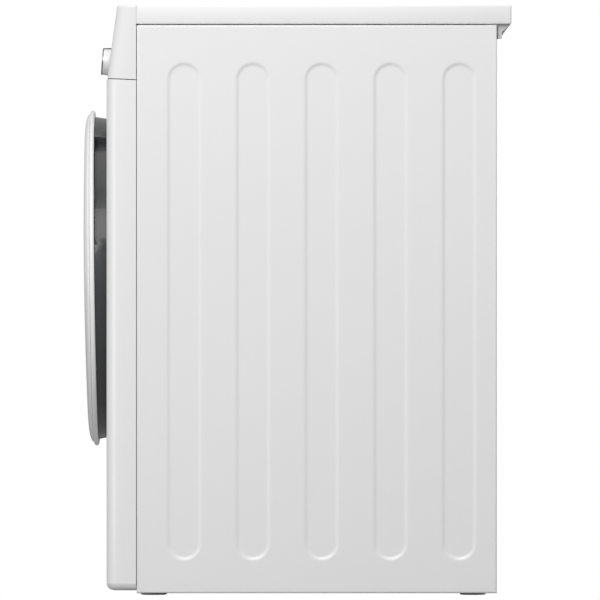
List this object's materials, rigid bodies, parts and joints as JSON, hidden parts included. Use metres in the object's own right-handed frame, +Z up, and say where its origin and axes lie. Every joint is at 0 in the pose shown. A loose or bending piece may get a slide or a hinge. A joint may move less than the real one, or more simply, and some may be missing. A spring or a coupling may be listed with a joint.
{
  "type": "clothes dryer",
  "caption": "Free-standing front-loading condenser clothes dryer with a round domed door, program knob, water tank drawer and ribbed side panels.",
  "frame": {"origin": "centre of the machine's box on the floor, under the levelling feet", "axes": "+Z up, -Y towards the door, +X to the right seen from the front"},
  "size_m": [0.6, 0.6207, 0.85],
  "materials": {
    "white_enamel": "smooth gloss enamel on sheet steel",
    "white_plastic": "smooth satin moulding",
    "door_gloss": "dark glossy moulding",
    "silver": "satin silver",
    "smoked_glass": "dark tinted, polished",
    "stainless": "drum steel, satin",
    "zinc": "galvanised, spangled",
    "grey_plastic": "fine moulded grain",
    "black_plastic": "fine moulded grain",
    "rubber": "matt",
    "felt": "pressed wool felt",
    "copper": "drawn copper tube",
    "aluminium": "fin stock",
    "circuit_board": "solder-masked board"
  },
  "bodies": {
    "cabinet": {"base_tray": "grey_plastic", "side_panel_right": "white_enamel", "side_panel_left": "white_enamel", "rear_panel": "zinc", "front_panel": "white_enamel", "console_fascia": "white_plastic", "worktop": "white_plastic", "worktop_bracket_right": "grey_plastic", "worktop_bracket_left": "grey_plastic", "cross_brace": "zinc", "front_bulkhead": "grey_plastic", "rear_bulkhead": "zinc", "drum_seal": "felt", "tank_tray": "grey_plastic", "fan_housing": "grey_plastic", "compressor": "black_plastic", "evaporator": "aluminium", "condenser": "aluminium", "refrigerant_pipe": "copper", "condensate_pump": "black_plastic", "motor": "zinc", "drive_belt": "rubber", "control_board": "circuit_board", "display_lens": "smoked_glass", "door_catch": "black_plastic", "hinge_plate": "stainless", "cord_inlet": "black_plastic", "drain_spigot": "grey_plastic", "drum_lamp": "smoked_glass"},
    "drum_body": {"drum": "stainless", "drum_lifter_1": "white_plastic", "drum_lifter_2": "white_plastic", "drum_lifter_3": "white_plastic"},
    "roller_front_right_body": {"roller_front_right": "rubber"},
    "roller_front_left_body": {"roller_front_left": "rubber"},
    "roller_rear_right_body": {"roller_rear_right": "rubber"},
    "roller_rear_left_body": {"roller_rear_left": "rubber"},
    "motor_rotor": {"motor_shaft": "stainless", "fan_impeller": "white_plastic"},
    "idler_arm_body": {"idler_arm": "zinc"},
    "idler_pulley_body": {"idler_pulley": "black_plastic"},
    "door": {"door_housing": "door_gloss", "door_rim": "white_plastic", "door_cover": "white_plastic", "door_bowl": "smoked_glass", "door_seal": "rubber", "latch_hook": "zinc", "hinge_leaf": "stainless"},
    "knob": {"program_knob": "silver"},
    "power_key": {"power_button": "silver"},
    "start_key": {"start_button": "silver"},
    "option_key_1": {"option_button_1": "white_plastic"},
    "option_key_2": {"option_button_2": "white_plastic"},
    "tank": {"water_tank": "white_plastic"},
    "filter": {"lint_filter": "white_plastic"},
    "flap": {"service_flap": "white_plastic"},
    "foot_front_right_body": {"foot_front_right": "black_plastic"},
    "foot_front_left_body": {"foot_front_left": "black_plastic"},
    "foot_rear_right_body": {"foot_rear_right": "black_plastic"},
    "foot_rear_left_body": {"foot_rear_left": "black_plastic"}
  },
  "joints": [
    {"name": "drum_spin", "type": "hinge", "parent": "cabinet", "child": "drum_body", "pos_m": [0, -0.00705, 0.49], "axis": [0, -1, 0], "continuous": true},
    {"name": "roller_front_right_spin", "type": "hinge", "parent": "cabinet", "child": "roller_front_right_body", "pos_m": [0.18085, -0.20505, 0.23172], "axis": [0, -1, 0], "continuous": true},
    {"name": "roller_front_left_spin", "type": "hinge", "parent": "cabinet", "child": "roller_front_left_body", "pos_m": [-0.18085, -0.20505, 0.23172], "axis": [0, -1, 0], "continuous": true},
    {"name": "roller_rear_right_spin", "type": "hinge", "parent": "cabinet", "child": "roller_rear_right_body", "pos_m": [0.18085, 0.18895, 0.23172], "axis": [0, -1, 0], "continuous": true},
    {"name": "roller_rear_left_spin", "type": "hinge", "parent": "cabinet", "child": "roller_rear_left_body", "pos_m": [-0.18085, 0.18895, 0.23172], "axis": [0, -1, 0], "continuous": true},
    {"name": "motor_spin", "type": "hinge", "parent": "cabinet", "child": "motor_rotor", "pos_m": [0.17, 0.045, 0.105], "axis": [0, -1, 0], "continuous": true},
    {"name": "idler_swing", "type": "hinge", "parent": "cabinet", "child": "idler_arm_body", "pos_m": [0.035, 0.045, 0.06], "axis": [0, -1, 0], "range_deg": [0, 12], "stiffness_Nm_per_rad": 2, "springref_deg": -20.05},
    {"name": "idler_pulley_spin", "type": "hinge", "parent": "idler_arm_body", "child": "idler_pulley_body", "pos_m": [0.085, 0.045, 0.075], "axis": [0, -1, 0], "continuous": true},
    {"name": "door_hinge", "type": "hinge", "parent": "cabinet", "child": "door", "pos_m": [-0.242, -0.28585, 0.4574], "axis": [0, 0, -1], "range_deg": [0, 130]},
    {"name": "knob_turn", "type": "hinge", "parent": "cabinet", "child": "knob", "pos_m": [0, -0.26778, 0.773], "axis": [0, -0.9976, 0.0698], "continuous": true},
    {"name": "power_press", "type": "slide", "parent": "cabinet", "child": "power_key", "axis": [0, 0.9912, -0.1323], "range_m": [0, 0.0012], "stiffness_N_per_m": 400},
    {"name": "start_press", "type": "slide", "parent": "cabinet", "child": "start_key", "axis": [0, 0.9912, -0.1323], "range_m": [0, 0.0012], "stiffness_N_per_m": 400},
    {"name": "option_1_press", "type": "slide", "parent": "cabinet", "child": "option_key_1", "axis": [0, 0.9912, -0.1323], "range_m": [0, 0.0012], "stiffness_N_per_m": 400},
    {"name": "option_2_press", "type": "slide", "parent": "cabinet", "child": "option_key_2", "axis": [0, 0.9912, -0.1323], "range_m": [0, 0.0012], "stiffness_N_per_m": 400},
    {"name": "tank_slide", "type": "slide", "parent": "cabinet", "child": "tank", "axis": [0, -1, 0], "range_m": [0, 0.36]},
    {"name": "filter_slide", "type": "slide", "parent": "cabinet", "child": "filter", "axis": [0, 0, 1], "range_m": [0, 0.17]},
    {"name": "flap_hinge", "type": "hinge", "parent": "cabinet", "child": "flap", "pos_m": [-0.167, -0.26695, 0.05], "axis": [1, 0, 0], "range_deg": [0, 90]},
    {"name": "foot_front_right_screw", "type": "slide", "parent": "cabinet", "child": "foot_front_right_body", "axis": [0, 0, -1], "range_m": [0, 0.012]},
    {"name": "foot_front_left_screw", "type": "slide", "parent": "cabinet", "child": "foot_front_left_body", "axis": [0, 0, -1], "range_m": [0, 0.012]},
    {"name": "foot_rear_right_screw", "type": "slide", "parent": "cabinet", "child": "foot_rear_right_body", "axis": [0, 0, -1], "range_m": [0, 0.012]},
    {"name": "foot_rear_left_screw", "type": "slide", "parent": "cabinet", "child": "foot_rear_left_body", "axis": [0, 0, -1], "range_m": [0, 0.012]}
  ],
  "couplings": [
    {"joint": "roller_front_right_spin", "follows": "drum_spin", "ratio": -8},
    {"joint": "roller_front_left_spin", "follows": "drum_spin", "ratio": -8},
    {"joint": "roller_rear_right_spin", "follows": "drum_spin", "ratio": -8},
    {"joint": "roller_rear_left_spin", "follows": "drum_spin", "ratio": -8},
    {"joint": "motor_spin", "follows": "drum_spin", "ratio": 40},
    {"joint": "idler_pulley_spin", "follows": "drum_spin", "ratio": 21.538}
  ]
}
